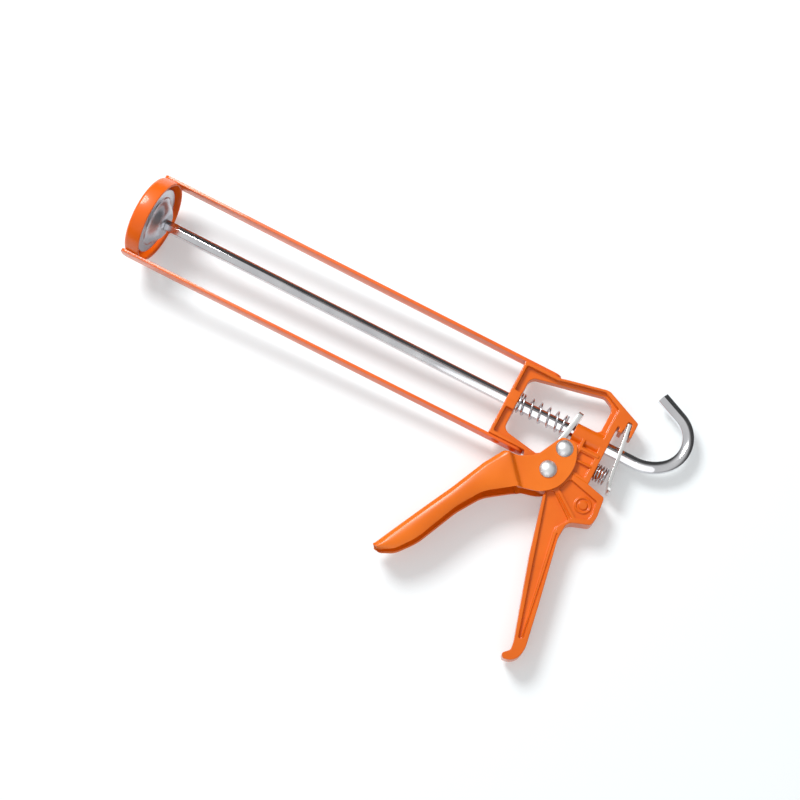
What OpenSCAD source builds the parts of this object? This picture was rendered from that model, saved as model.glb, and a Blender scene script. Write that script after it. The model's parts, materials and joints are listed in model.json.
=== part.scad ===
// Caulking gun with an open frame, lying on its right side.
// The gun is drawn with X running back along the push rod from the front face of the ring,
// Y towards the top strap and Z out of the gun's left side; lay_down() then rests it on its side.

/* [Cradle] */
// Outside diameter of the front ring
ring_od = 52; // [44:1:70]
// Depth of the front ring
ring_depth = 10; // [7:0.5:16]
// Wall of the front ring
ring_wall = 1.5; // [1.2:0.1:2.5]
// Diameter of the nozzle opening in the front ring
nozzle_d = 38; // [20:1:40]
// Free length between the front ring and the body casting
cradle_len = 236; // [180:1:300]
// Half of the distance between the straps where they meet the casting
strap_rear_half = 24.2; // [22:0.1:27]
// Width of the straps
strap_w = 10.5; // [8:0.5:12]
// Thickness of the straps
strap_t = 1.8; // [1.2:0.1:2.5]
// Length of a strap beyond the front of the ring
strap_nose = 1.4; // [0:0.1:3]

/* [Push rod] */
// Width across the flats of the hexagonal rod
rod_af = 6.8; // [5:0.1:8]
// Straight length of the rod behind the casting's front face, up to the hook
rod_tail = 82.5; // [80:0.5:120]
// Radius of the first bend of the hook
hook_wide_r = 26.5; // [20:0.5:34]
// Radius of the tight bend of the hook
hook_tight_r = 18; // [14:0.5:24]
// Length of the straight end of the hook
hook_end_len = 16; // [5:0.5:25]
// Diameter of the plunger disc
plunger_d = 42; // [36:1:43]
// Thickness of the plunger's sheet
plunger_t = 1.2; // [0.8:0.1:2]

/* [Casting] */
// Thickness of the head of the casting
head_t = 12.8; // [11:0.1:13]
// Thickness of the grip and its shoulder
grip_t = 14; // [13:0.5:18]
// Depth of the head's plate below its rim
plate_recess = 3.2; // [1:0.1:4]
// Depth of the pockets between the ribs in front of the grip's shoulder
pocket_depth = 1.7; // [0.5:0.1:2.5]
// Depth of the recesses in the sides of the grip
grip_recess = 2.2; // [1:0.1:4]
// Diameter of the boss round the rod
boss_d = 13.4; // [12:0.1:15]
// Length of the grip below the pivot pin
grip_len = 109; // [90:1:130]

/* [Trigger] */
// Sheet thickness of the trigger
trigger_t = 1.5; // [1:0.1:2]
// Step outwards of each side of the trigger, from its head to its grip
grip_flare = 4; // [2:0.5:5]
// Gap between the casting's head and each side of the trigger
trigger_gap = 0.9; // [0.8:0.1:1.5]
// Height of the pusher pin above the pivot pin
pusher_up = 15.3; // [14:0.1:17]
// Distance of the pusher pin behind the pivot pin
pusher_back = 3; // [2:0.1:4]
// Diameter of the pivot pin
pivot_d = 6; // [4:0.1:7]
// Diameter of the pusher pin
pusher_d = 3.8; // [3:0.1:4]
// Diameter of the domed caps on the pins
cap_d = 10.2; // [9:0.1:11]
// Height of the domed caps
cap_h = 2.4; // [2:0.1:3.5]

/* [Plates and springs] */
// Thickness of the drive plate
drive_t = 3; // [2.5:0.1:3.2]
// Lean of the drive plate, in degrees
drive_lean = 9.5; // [8:0.5:10.5]
// Thickness of the release plate
release_t = 2; // [1.5:0.1:2.4]
// Lean of the release plate, in degrees
release_lean = 7.5; // [6:0.5:8.5]
// Outside diameter of the drive spring
drive_spring_od = 12.8; // [12:0.1:14]
// Wire diameter of the drive spring
drive_wire = 1.1; // [0.8:0.1:1.3]
// Outside diameter of the release spring
release_spring_od = 11; // [9:0.1:11.4]
// Wire diameter of the release spring
release_wire = 0.9; // [0.7:0.1:1]

/* [Hidden] */
$fn = 64;

// Clearances
fit_gap = 0.07;      // radial, pins and rod in their holes
seat_gap = 0.3;      // between parts that move on each other
plate_hole_gap = 0.5; // radial, rod in the leaning plates

// Places along the gun
casting_x = ring_depth + cradle_len;
head_half = head_t / 2;
grip_half = grip_t / 2;
rod_corner_r = rod_af / 2 / cos(30);
rod_hole_r = rod_corner_r + fit_gap;

// Strap seats
strap_front_half = ring_od / 2 - 0.4;
strap_seat_len = 22.5;
rivet_head_r = 3;
rivet_head_h = 1.2;
rivet_shank_r = 1.6;
rivet_depth = 4;
rivet_places = [5.4, 16];

// Trigger and its pins, from the front face of the casting
pivot = [40.7, -28.4];
pusher = [pivot[0] + pusher_back, pivot[1] + pusher_up];
trigger_in = head_half + trigger_gap;
trigger_out = trigger_in + trigger_t;
boss_r = boss_d / 2;
boss_front = 43.8;
boss_ground = 2.6;   // the head is this much thinner beside the rear boss
groove_depth = 0.9;
rear_wall = 65;

// Crease where the trigger's sides step out, from its lower end upwards
crease_end = [-8.4, -16];
crease_turn = 41;

// Drive plate: its rear face passes the top front edge of the boss
drive_face = [boss_front - seat_gap, boss_r - 1.4];
drive_top = 11.4;
drive_bottom = -17.2;
drive_foot_x = drive_face[0] - (drive_face[1] - pusher[1]) * tan(drive_lean);
roller_r = (pusher[0] - drive_foot_x) * cos(drive_lean) - seat_gap;
front_wall = 6.8;
drive_spring_r = (drive_spring_od - drive_wire) / 2;
drive_spring_lift = 1.2;

// Release plate: held in a pocket under the lip, its front face leans back as it goes down
release_top = [69.6, 18.3];
release_half_w = 7;
release_bend_y = -17;
release_bottom_y = -24.2;
release_tab_lean = release_lean + 9;
lip_back = 74.9;
peg_y = -15.3;
peg_r = 3.7;
peg_len = 3.6;
peg_tip_r = 2.4;
peg_tip_len = 1.6;
release_spring_r = (release_spring_od - release_wire) / 2;

// Plunger
plunger_x = 6.5;
plunger_dome = 6.5;
stud_r = 2.5;

// Turns of the hook's two bends
hook_wide_turn = 40;
hook_tight_turn = 116;

// Domed caps are slices of a ball
cap_ball_r = (pow(cap_d / 2, 2) + pow(cap_h, 2)) / (2 * cap_h);

// The gun lies on the ring's rear edge and on the trigger's far side, below the crease
lie_length = casting_x + pivot[0] + crease_end[0] - ring_depth;
lie_drop = ring_od / 2 - trigger_out - grip_flare;
lie_angle = atan2(lie_drop, lie_length);

function unit(v) = v / norm(v);
function xy(p) = [p[0], p[1]];
function turn_between(a, b) = (b - a) > 180 ? b - a - 360 : (b - a) < -180 ? b - a + 360 : b - a;

// Arc that rounds corner b between a and c with radius r
function corner_arc(a, b, c, r, steps) =
    let (u = unit(a - b), v = unit(c - b), half = acos(u * v) / 2,
         centre = b + unit(u + v) * r / sin(half),
         from = b + u * r / tan(half) - centre, to = b + v * r / tan(half) - centre,
         start = atan2(from[1], from[0]), sweep = turn_between(start, atan2(to[1], to[0])))
    [for (k = [0 : steps]) centre + r * [cos(start + sweep * k / steps), sin(start + sweep * k / steps)]];

// Outline through corners given as [x, y, radius]
function rounded(corners, steps = 6) =
    let (n = len(corners))
    [for (i = [0 : n - 1])
        let (a = xy(corners[(i + n - 1) % n]), b = xy(corners[i]), c = xy(corners[(i + 1) % n]), r = corners[i][2])
        each (r > 0 ? corner_arc(a, b, c, r, steps) : [b])];

// Turns a shape drawn about Z so that its axis runs along X
module along_x() {
    rotate([0, 90, 0]) children();
}

module slab(half) {
    translate([0, 0, -half]) linear_extrude(2 * half) children();
}

module lay_down() {
    rotate([0, lie_angle, 0]) children();
}

module at_casting() {
    lay_down() translate([casting_x, 0, 0]) children();
}

// Solid between cross-sections of the same number of sides, listed one after another
module skin(points, sides) {
    count = len(points) / sides;
    walls = [for (i = [0 : count - 2], j = [0 : sides - 1])
        let (k = (j + 1) % sides)
        [i * sides + j, i * sides + k, (i + 1) * sides + k, (i + 1) * sides + j]];
    start = [for (j = [sides - 1 : -1 : 0]) j];
    finish = [for (j = [0 : sides - 1]) (count - 1) * sides + j];
    polyhedron(points = points, faces = concat(walls, [start, finish]), convexity = 8);
}

// ---- Front ring ----

module ring_profile() {
    r = ring_od / 2;
    bend = 2.4;
    outside = [for (a = [0 : 15 : 90]) [r - bend + bend * cos(a), bend - bend * sin(a)]];
    inside = [for (a = [90 : -15 : 0])
        [r - bend + (bend - ring_wall) * cos(a), bend - (bend - ring_wall) * sin(a)]];
    polygon(concat([[r, ring_depth]], outside, [[nozzle_d / 2, 0], [nozzle_d / 2, ring_wall]],
                   inside, [[r - ring_wall, ring_depth]]));
}

module front_ring() {
    color("orangered") lay_down() difference() {
        along_x() rotate_extrude($fn = 128) ring_profile();
        for (side = [-1, 1])
            translate([-1, side > 0 ? strap_front_half : -strap_front_half - strap_t, -strap_w / 2])
                cube([ring_depth + 2, strap_t, strap_w]);
    }
}

// ---- Straps ----

module strap_side(side) {
    seat = strap_rear_half;
    front = strap_front_half;
    end = casting_x + strap_seat_len;
    near = [[-strap_nose, front], [ring_depth, front], [casting_x, seat], [end, seat]];
    far = [for (i = [3 : -1 : 0]) near[i] + [0, strap_t]];
    mirror([0, side < 0 ? 1 : 0, 0]) polygon(concat(near, far));
}

module strap_plan() {
    half = strap_w / 2;
    end = casting_x + strap_seat_len;
    nose_r = 3.4;
    polygon(rounded([[-strap_nose, -half, nose_r], [end, -half, half * 0.8],
                     [end, half, half * 0.8], [-strap_nose, half, nose_r]]));
}

module strap(side) {
    reach = ring_od;
    difference() {
        intersection() {
            slab(strap_w / 2) strap_side(side);
            translate([0, side > 0 ? reach : 0, 0])
                rotate([90, 0, 0]) linear_extrude(reach) strap_plan();
        }
        for (x = rivet_places)
            translate([casting_x + x, 0, 0]) rotate([90, 0, 0])
                cylinder(r = rivet_shank_r + fit_gap, h = 4 * reach, center = true);
    }
}

module top_strap() {
    color("orangered") lay_down() strap(1);
}

module bottom_strap() {
    color("orangered") lay_down() strap(-1);
}

module strap_rivets(side) {
    seat = strap_rear_half;
    ball_r = (pow(rivet_head_r, 2) + pow(rivet_head_h, 2)) / (2 * rivet_head_h);
    mirror([0, side < 0 ? 1 : 0, 0])
        for (x = rivet_places) translate([x, seat, 0]) rotate([-90, 0, 0]) {
            translate([0, 0, -rivet_depth]) cylinder(r = rivet_shank_r, h = rivet_depth + strap_t);
            translate([0, 0, strap_t]) intersection() {
                translate([0, 0, rivet_head_h - ball_r]) sphere(r = ball_r);
                cylinder(r = rivet_head_r, h = rivet_head_h);
            }
        }
}

module top_strap_rivets() {
    color("orangered") at_casting() strap_rivets(1);
}

module bottom_strap_rivets() {
    color("orangered") at_casting() strap_rivets(-1);
}

// ---- Body casting ----

// Corner of the grip, moved along it when the grip is longer or shorter than its usual 109 mm
function grip_point(x, y, r) =
    let (stretch = max(0, pivot[1] - 25 - y) * (grip_len / 109 - 1))
    [x + 0.24 * stretch, y - stretch, r];

module head_outline() {
    seat = strap_rear_half;
    lip_low = 13.8;
    lip_end = 10.6;
    nib_low = 10.9;
    nib_back = release_top[0] - 0.9;
    polygon(rounded([
        [0, -seat, 0], [strap_seat_len + 1, -seat, 0], [25.5, -31, 4], [33, -38.5, 5], [42, -41.2, 5],
        [50.5, -37.5, 5], [54.5, -27.5, 2], [rear_wall, -26.5, 0], [rear_wall, lip_low, 0.8], [rear_wall + 1.3, lip_low, 0.3],
        [rear_wall + 1.3, nib_low, 0.5], [nib_back, nib_low, 0.5], [nib_back, lip_low, 0.3],
        [lip_back - 2, lip_low, 0], [lip_back - 1.6, lip_end, 0.4], [lip_back, lip_end, 0.6],
        [lip_back, 20.4, 1.4], [52.2, 30.3, 1.6], [49.8, 30.3, 1.6], [26, 24.9, 2],
        [strap_seat_len + 1, seat, 0], [0, seat, 0]]));
}

module grip_outline() {
    polygon(rounded([
        grip_point(44.9, -42.6, 2), grip_point(53.6, -77, 90), grip_point(68, -124.5, 12),
        grip_point(68.8, -130, 3.5), grip_point(64.9, -133.8, 1.2), grip_point(66.6, -136.3, 1.3),
        grip_point(73.8, -135.8, 8), grip_point(75.8, -126, 14), grip_point(71.2, -100, 60),
        grip_point(63.7, -61, 14), grip_point(64.4, -50.6, 5), grip_point(77, -45.9, 2.5),
        [78, -40, 6], [76.7, -28.1, 2], [rear_wall, -25.2, 0], [49, -23.4, 1]]));
}

module window() {
    polygon(rounded([
        [front_wall, -18.1, 5], [30, -22, 2], [34.5, -18.7, 2], [49.3, -18.7, 2], [49.3, -8.2, 1.5],
        [boss_front, -8.2, 0], [boss_front, 5.3, 0], [57.6, 5.3, 3], [57.6, 23.2, 5.5],
        [50.6, 26.7, 3], [front_wall, 17.1, 5]]));
}

module release_pocket() {
    back = release_t / cos(release_lean) + seat_gap;
    fall = tan(release_lean);
    polygon([[release_top[0] - seat_gap, 18.8],
             [release_top[0] - seat_gap, 8],
             [release_top[0] + 10.3 * fall + back, 8],
             [release_top[0] - 0.5 * fall + back, 18.8]]);
}

// The head's plate lies below its rim and runs up to the window
module plate_recesses() {
    half_boss = 5.6;
    polygon(rounded([[2.2, half_boss, 0.5], [front_wall + 1, half_boss, 0], [front_wall + 1, 14, 0], [50, 22, 0],
                     [56.5, 20, 0], [56.5, boss_r, 0], [61, boss_r, 0.5], [61, 23.1, 1], [50, 28.7, 1],
                     [26, 23.3, 2], [22, 22.1, 2], [2.2, 22.1, 1]]));
    polygon(rounded([[2.2, -half_boss, 0.5], [2.2, -22, 1], [20, -22, 0.3], [29.6, -23.6, 0.5],
                     [33.4, -20.4, 0.5], [30, -20, 0], [front_wall + 1, -16, 0], [front_wall + 1, -half_boss, 0]]));
}

// Flat ground on both sides of the rear boss, and the pockets between the ribs below it
module boss_recess() {
    translate([boss_front - 1, -boss_r]) square([61 - boss_front + 1, 2 * boss_r]);
}

module rib_pockets() {
    polygon(rounded([[52, -9.8, 0.8], [61.5, -9.8, 0.8], [61.5, -14.3, 0.8], [52, -14.9, 0.8]]));
    polygon(rounded([[52.4, -16.4, 0.8], [61.5, -15.8, 0.8], [61.5, -23, 0.8], [53.2, -22, 0.8]]));
}

module shoulder_recess() {
    polygon(rounded([[46, -25, 0.5], [74, -32, 1.5], [75, -40, 4], [74.4, -43.8, 1.5],
                     [67.4, -46.4, 1.2], [46, -31.2, 0.5]]));
}

module grip_recess_outline() {
    polygon(rounded([
        grip_point(44.6, -36, 0.5), grip_point(48.2, -48, 20), grip_point(56.5, -76.5, 80),
        grip_point(69.4, -122, 0.6), grip_point(71.2, -122, 0.5), grip_point(66.4, -95, 80),
        grip_point(61.3, -66, 30), grip_point(59.6, -56.5, 6), grip_point(64.6, -49.2, 1.5),
        grip_point(48.2, -36.6, 0.5)]));
}

// Grooves in the diagonal rib above the grip and in the grip's rear rim
module rim_grooves() {
    polygon([[50.6, -36.5], [65.4, -47.3], [64.8, -48.1], [50, -37.3]]);
    polygon(rounded([
        grip_point(61.7, -59, 0.3), grip_point(66, -85, 100), grip_point(71.4, -121, 0.3),
        grip_point(72.3, -121, 0.3), grip_point(66.9, -85, 100), grip_point(62.6, -59, 0.3)]));
}

module emblem_disc() {
    emblem_at = [67.8, -37.4];
    translate(emblem_at) difference() {
        circle(r = 4.9);
        circle(r = 3.9);
    }
    translate(emblem_at) circle(r = 2.6);
}

// Cuts a recess of the given depth into both sides of a slab
module both_sides(half, depth) {
    for (side = [0, 1]) mirror([0, 0, side])
        translate([0, 0, half - depth]) linear_extrude(depth + 1) children();
}

module strap_rivet_holes() {
    for (x = rivet_places) translate([x, 0, 0]) rotate([90, 0, 0]) difference() {
        cylinder(r = rivet_shank_r + fit_gap, h = 2 * strap_rear_half + 2, center = true);
        cylinder(r = 2 * rivet_shank_r, h = 2 * (strap_rear_half - rivet_depth - seat_gap), center = true);
    }
}

module casting_head() {
    difference() {
        slab(head_half) head_outline();
        both_sides(head_half, plate_recess) plate_recesses();
        both_sides(head_half, boss_ground) boss_recess();
        both_sides(head_half, pocket_depth) rib_pockets();
    }
    along_x() cylinder(r = boss_r, h = front_wall);
    translate([boss_front, 0, 0]) along_x() cylinder(r = boss_r, h = rear_wall - boss_front);
    translate([rear_wall, peg_y, 0]) along_x() cylinder(r = peg_r, h = peg_len);
    translate([rear_wall, peg_y, 0]) along_x() cylinder(r = peg_tip_r, h = peg_len + peg_tip_len);
}

module casting_grip() {
    trigger_sweep_r = 14.7;
    difference() {
        slab(grip_half) grip_outline();
        both_sides(grip_half, grip_half - head_half) translate(pivot) circle(r = trigger_sweep_r);
        both_sides(grip_half, grip_recess) shoulder_recess();
        both_sides(grip_half, grip_recess) grip_recess_outline();
        both_sides(grip_half, groove_depth) rim_grooves();
    }
    emblem_lift = 1;
    slab(grip_half - grip_recess + emblem_lift) emblem_disc();
}

module body_casting() {
    color("orangered") at_casting() difference() {
        union() {
            casting_head();
            casting_grip();
        }
        slab(grip_half + 1) window();
        slab(grip_half + 1) release_pocket();
        translate([-1, 0, 0]) along_x() cylinder(r = rod_hole_r, h = rear_wall + 2);
        translate([pivot[0], pivot[1], 0])
            cylinder(r = pivot_d / 2 + fit_gap, h = 2 * grip_t, center = true);
        strap_rivet_holes();
    }
}

// ---- Push rod and plunger ----

// Stations along the middle of a bent rod, as [x, y, direction]
function bend(from, radius, turn, steps) =
    let (centre = [from[0] - radius * sin(from[2]), from[1] + radius * cos(from[2])])
    [for (k = [1 : steps]) let (a = from[2] + turn * k / steps)
        [centre[0] + radius * sin(a), centre[1] - radius * cos(a), a]];

function last(list) = list[len(list) - 1];

function hook_stations() =
    let (wide = bend([casting_x + rod_tail, 0, 0], hook_wide_r, hook_wide_turn, 12),
         tight = bend(last(wide), hook_tight_r, hook_tight_turn, 36),
         end = last(tight))
    concat([[casting_x + rod_tail, 0, 0]], wide, tight,
           [[end[0] + hook_end_len * cos(end[2]), end[1] + hook_end_len * sin(end[2]), end[2]]]);

// The six-sided rod has corners on its left and right
module hexagon_along(stations) {
    corners = [for (s = stations, k = [0 : 5])
        let (up = rod_corner_r * sin(60 * k))
        [s[0] - up * sin(s[2]), s[1] + up * cos(s[2]), rod_corner_r * cos(60 * k)]];
    skin(corners, 6);
}

module push_rod() {
    front_end = plunger_x + plunger_dome + plunger_t;
    color("silver") lay_down() {
        hexagon_along([[front_end, 0, 0], [casting_x + rod_tail, 0, 0]]);
        translate([plunger_x - 1, 0, 0]) along_x() cylinder(r = stud_r, h = plunger_dome + plunger_t + 2);
    }
}

// The rod's bent rear end is one bar with it
module rod_hook() {
    color("silver") lay_down() hexagon_along(hook_stations());
}

// Sheet disc with a flat rim, a step and a cone that rises to the rod
module plunger_profile() {
    r = plunger_d / 2;
    top = plunger_x + plunger_dome;
    front = [[r, plunger_x], [r * 0.77, plunger_x], [r * 0.73, plunger_x + 0.9], [stud_r + 4, top], [stud_r + fit_gap, top]];
    back = [for (i = [4 : -1 : 0]) front[i] + [0, plunger_t]];
    polygon(concat(front, back));
}

module plunger_disc() {
    color("gainsboro") lay_down() along_x() rotate_extrude($fn = 96) plunger_profile();
}

module plunger_washer() {
    washer_t = 1;
    color("silver") lay_down() translate([plunger_x + plunger_dome - washer_t, 0, 0]) along_x() difference() {
        cylinder(r = stud_r + 3.6, h = washer_t);
        translate([0, 0, -1]) cylinder(r = stud_r + fit_gap, h = washer_t + 2);
    }
}

module plunger_nut() {
    nut_af = 8;
    nut_h = 2.6;
    color("silver") lay_down() translate([plunger_x + plunger_dome - 1 - nut_h, 0, 0]) along_x() difference() {
        cylinder(r = nut_af / 2 / cos(30), h = nut_h, $fn = 6);
        translate([0, 0, -1]) cylinder(r = stud_r + fit_gap, h = nut_h + 2);
    }
}

// ---- Plates ----

module drive_plate() {
    tall = (drive_top - drive_bottom) / cos(drive_lean);
    below = (drive_face[1] - drive_bottom) / cos(drive_lean);
    half_w = head_half - 0.2;
    color("silver") at_casting() difference() {
        translate([drive_face[0], drive_face[1], 0]) rotate([0, 0, -drive_lean])
            translate([-drive_t, -below, 0]) rotate([0, 90, 0]) linear_extrude(drive_t)
                polygon(rounded([[-half_w, 0, 2.5], [half_w, 0, 2.5], [half_w, tall, 2.5], [-half_w, tall, 2.5]]));
        along_x() cylinder(r = rod_corner_r + plate_hole_gap, h = 2 * rear_wall);
    }
}

module release_side() {
    lean = tan(release_lean);
    step = release_t / cos(release_lean);
    bend_x = release_top[0] + (release_top[1] - release_bend_y) * lean;
    tip_x = bend_x + (release_bend_y - release_bottom_y) * tan(release_tab_lean);
    polygon([[release_top[0], release_top[1]], [bend_x, release_bend_y], [tip_x, release_bottom_y],
             [tip_x + step, release_bottom_y + 0.4], [bend_x + step, release_bend_y],
             [release_top[0] + step, release_top[1]]]);
}

module release_plate() {
    w = release_half_w;
    color("silver") at_casting() difference() {
        intersection() {
            slab(w) release_side();
            translate([rear_wall, 0, 0]) rotate([0, 90, 0]) linear_extrude(2 * rod_tail)
                polygon(rounded([[-w, release_bottom_y, 4.5], [w, release_bottom_y, 4.5],
                                 [w, release_top[1], 1], [-w, release_top[1], 1]]));
        }
        along_x() cylinder(r = rod_corner_r + plate_hole_gap, h = 2 * (rear_wall + rod_tail));
    }
}

// ---- Springs ----

// Distance of a coil spring's wire from its front end, with closed turns at each end
function coil_rise(turn, turns, closed_turns, length, wire) =
    let (tight = wire * 1.08, open_turns = turns - 2 * closed_turns,
         open = (length - wire - 2 * closed_turns * tight) / open_turns)
    wire / 2 + tight * min(turn, closed_turns) + open * min(max(turn - closed_turns, 0), open_turns)
    + tight * max(turn - closed_turns - open_turns, 0);

module coil_spring(radius, wire, length, turns, closed_turns, steps = 18, sides = 8) {
    rings = [for (i = [0 : turns * steps])
        let (a = 360 * i / steps, out = [0, cos(a), sin(a)],
             middle = [coil_rise(i / steps, turns, closed_turns, length, wire), 0, 0] + radius * out)
        for (j = [0 : sides - 1])
            middle + wire / 2 * (cos(360 * j / sides) * out + sin(360 * j / sides) * [1, 0, 0])];
    skin(rings, sides);
}

module drive_spring() {
    spring_low = drive_spring_lift - drive_spring_od / 2;
    plate_x = drive_face[0] - drive_t / cos(drive_lean) - (drive_face[1] - spring_low) * tan(drive_lean);
    color("silver") at_casting() translate([front_wall + seat_gap, drive_spring_lift, 0])
        coil_spring(drive_spring_r, drive_wire, plate_x - front_wall - 2 * seat_gap, 7, 1);
}

module release_spring() {
    high_y = peg_y + release_spring_od / 2;
    plate_x = release_top[0] + (release_top[1] - high_y) * tan(release_lean);
    seat_x = rear_wall + 0.1;
    color("silver") at_casting() translate([seat_x, peg_y, 0])
        coil_spring(release_spring_r, release_wire, plate_x - seat_x - seat_gap, 4, 0.5, 16);
}

// ---- Trigger and its pins ----

// Side of the trigger, drawn about its pivot
module trigger_outline() {
    up = pusher_up - 15.3;
    back = pusher_back - 3;
    polygon(rounded([
        [back - 1.2, up + 21, 4], [back + 8.2, up + 21.2, 5], [13.6, 9, 22], [10.6, -7, 18],
        [1.5, -14.2, 18], [-10.5, -17.2, 14], [-27, -29.4, 22], [-36.4, -44.4, 30],
        [-48, -71.3, 40], [-56.4, -82.2, 12], [-64.4, -86.4, 4], [-68.6, -85.2, 1.2],
        [-44.3, -36.2, 60], [-34.4, -14, 12], [-27.4, -2.2, 3], [-17.8, -0.4, 8],
        [-9.4, 4.6, 4]]));
}

// Half-plane on the grip's side of the crease, moved towards the grip by a distance
module grip_side(shift) {
    crease_len = 60;
    translate(crease_end - [shift, 0]) rotate(crease_turn)
        translate([-2 * crease_len, -crease_len]) square([2 * crease_len, 3 * crease_len]);
}

module trigger_side() {
    linear_extrude(trigger_t) difference() {
        trigger_outline();
        grip_side(0);
    }
    translate([0, 0, grip_flare]) linear_extrude(trigger_t) intersection() {
        trigger_outline();
        grip_side(-trigger_t);
    }
    linear_extrude(grip_flare + trigger_t) intersection() {
        trigger_outline();
        difference() {
            grip_side(-trigger_t);
            grip_side(0);
        }
    }
}

// Front wall that joins the two sides along the grip
module trigger_front() {
    wall_shift = trigger_t * [0.95, -0.3];
    slab(trigger_out + grip_flare) intersection() {
        difference() {
            trigger_outline();
            translate(wall_shift) trigger_outline();
        }
        grip_side(0);
    }
}

module trigger() {
    color("darkorange") at_casting() translate([pivot[0], pivot[1], 0]) difference() {
        union() {
            for (side = [0, 1]) mirror([0, 0, side]) translate([0, 0, trigger_in]) trigger_side();
            trigger_front();
        }
        cylinder(r = pivot_d / 2 + fit_gap, h = 4 * trigger_out, center = true);
        translate([pusher_back, pusher_up, 0])
            cylinder(r = pusher_d / 2 + fit_gap, h = 4 * trigger_out, center = true);
    }
}

module pin(d, half_len) {
    cylinder(r = d / 2, h = 2 * half_len, center = true);
}

// Domed push-on cap whose flat base lies at the given height, over a pin of diameter d
module cap(base, d, pin_end) {
    translate([0, 0, base]) difference() {
        intersection() {
            translate([0, 0, cap_h - cap_ball_r]) sphere(r = cap_ball_r, $fn = 96);
            cylinder(r = cap_d / 2, h = cap_h);
        }
        translate([0, 0, -1]) cylinder(r = d / 2 + fit_gap / 2, h = 1 + pin_end - base);
    }
}

module pivot_pin() {
    color("silver") at_casting() translate([pivot[0], pivot[1], 0]) pin(pivot_d, trigger_out + seat_gap + 1);
}

module pivot_caps() {
    base = trigger_out + seat_gap;
    color("gainsboro") at_casting() translate([pivot[0], pivot[1], 0])
        for (side = [0, 1]) mirror([0, 0, side]) cap(base, pivot_d, base + 1.1);
}

module pusher_pin() {
    color("silver") at_casting() translate([pusher[0], pusher[1], 0]) pin(pusher_d, trigger_out + 1);
}

module pusher_caps() {
    color("gainsboro") at_casting() translate([pusher[0], pusher[1], 0])
        for (side = [0, 1]) mirror([0, 0, side]) cap(trigger_out, pusher_d, trigger_out + 1.1);
}

module pusher_roller() {
    half_len = trigger_in - 0.2;
    color("silver") at_casting() translate([pusher[0], pusher[1], 0]) difference() {
        cylinder(r = roller_r, h = 2 * half_len, center = true);
        cylinder(r = pusher_d / 2 + fit_gap, h = 4 * half_len, center = true);
    }
}

front_ring();
top_strap();
bottom_strap();
top_strap_rivets();
bottom_strap_rivets();
body_casting();
push_rod();
rod_hook();
plunger_disc();
plunger_washer();
plunger_nut();
drive_plate();
drive_spring();
release_plate();
release_spring();
trigger();
pivot_pin();
pivot_caps();
pusher_pin();
pusher_caps();
pusher_roller();
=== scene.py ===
import json
import math
import bmesh
import bpy
from mathutils import Matrix, Vector


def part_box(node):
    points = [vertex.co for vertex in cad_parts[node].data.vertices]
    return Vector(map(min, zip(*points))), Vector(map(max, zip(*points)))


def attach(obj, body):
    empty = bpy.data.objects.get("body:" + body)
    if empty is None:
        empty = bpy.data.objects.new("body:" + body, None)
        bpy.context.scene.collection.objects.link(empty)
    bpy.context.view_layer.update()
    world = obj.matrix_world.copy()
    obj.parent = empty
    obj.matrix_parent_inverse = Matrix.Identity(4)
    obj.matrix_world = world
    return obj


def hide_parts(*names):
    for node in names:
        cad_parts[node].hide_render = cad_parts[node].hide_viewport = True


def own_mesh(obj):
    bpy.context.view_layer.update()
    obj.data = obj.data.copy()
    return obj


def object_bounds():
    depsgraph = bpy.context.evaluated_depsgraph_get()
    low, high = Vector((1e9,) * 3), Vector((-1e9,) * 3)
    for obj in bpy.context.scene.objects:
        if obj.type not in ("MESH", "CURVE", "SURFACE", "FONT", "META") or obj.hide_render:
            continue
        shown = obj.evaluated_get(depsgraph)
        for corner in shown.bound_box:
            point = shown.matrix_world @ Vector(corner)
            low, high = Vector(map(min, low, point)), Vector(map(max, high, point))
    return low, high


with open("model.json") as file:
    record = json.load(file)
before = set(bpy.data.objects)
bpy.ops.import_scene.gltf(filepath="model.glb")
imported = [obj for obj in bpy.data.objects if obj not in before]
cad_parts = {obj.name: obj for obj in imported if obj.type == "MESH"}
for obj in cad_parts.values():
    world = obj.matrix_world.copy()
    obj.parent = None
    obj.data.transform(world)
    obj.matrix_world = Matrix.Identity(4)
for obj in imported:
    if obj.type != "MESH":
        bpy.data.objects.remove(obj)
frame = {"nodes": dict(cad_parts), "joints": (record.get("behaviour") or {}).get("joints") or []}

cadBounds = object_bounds()
mm = 0.001

# where the gun lies, read from the trigger's own joint
joints = {joint["name"]: joint for joint in frame["joints"]}
pivotAxis = joints["trigger_pivot"]["axis"]
pivotPlace = joints["trigger_pivot"]["pos_m"]
lieAngle = math.atan2(pivotAxis[0], pivotAxis[2])  # the gun is tipped by this much about Y
pivotAlong = pivotPlace[0] / math.cos(lieAngle) / mm  # pivot's distance behind the ring's front, in mm
pivotUp = pivotPlace[1] / mm
pivotBehindCasting = 40.7  # from the casting's front face to the pivot, in mm
castingAlong = pivotAlong - pivotBehindCasting
layDown = Matrix.Rotation(lieAngle, 4, "Y")
standUp = layDown.inverted()
print("frame read: tipped by %.2f degrees" % math.degrees(lieAngle))


# merging distances in mm, and angles in degrees: up to where faces count as flat, from where an edge gets
# rounded, and up to where each kind of piece is shaded smooth
limits = {"merge": 0.002, "seamMerge": 0.01, "flat": 0.5, "sharp": 30, "foldedSharp": 50}
shading = {"plain": 35, "turned": 40, "folded": 50, "cast": 60}


def pickOnly(piece):
    bpy.ops.object.select_all(action="DESELECT")
    piece.select_set(True)
    bpy.context.view_layer.objects.active = piece


def applyModifier(piece, kind, **settings):
    modifier = piece.modifiers.new(kind, kind)
    for name, value in settings.items():
        setattr(modifier, name, value)
    pickOnly(piece)
    bpy.ops.object.modifier_apply(modifier=modifier.name)


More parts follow.
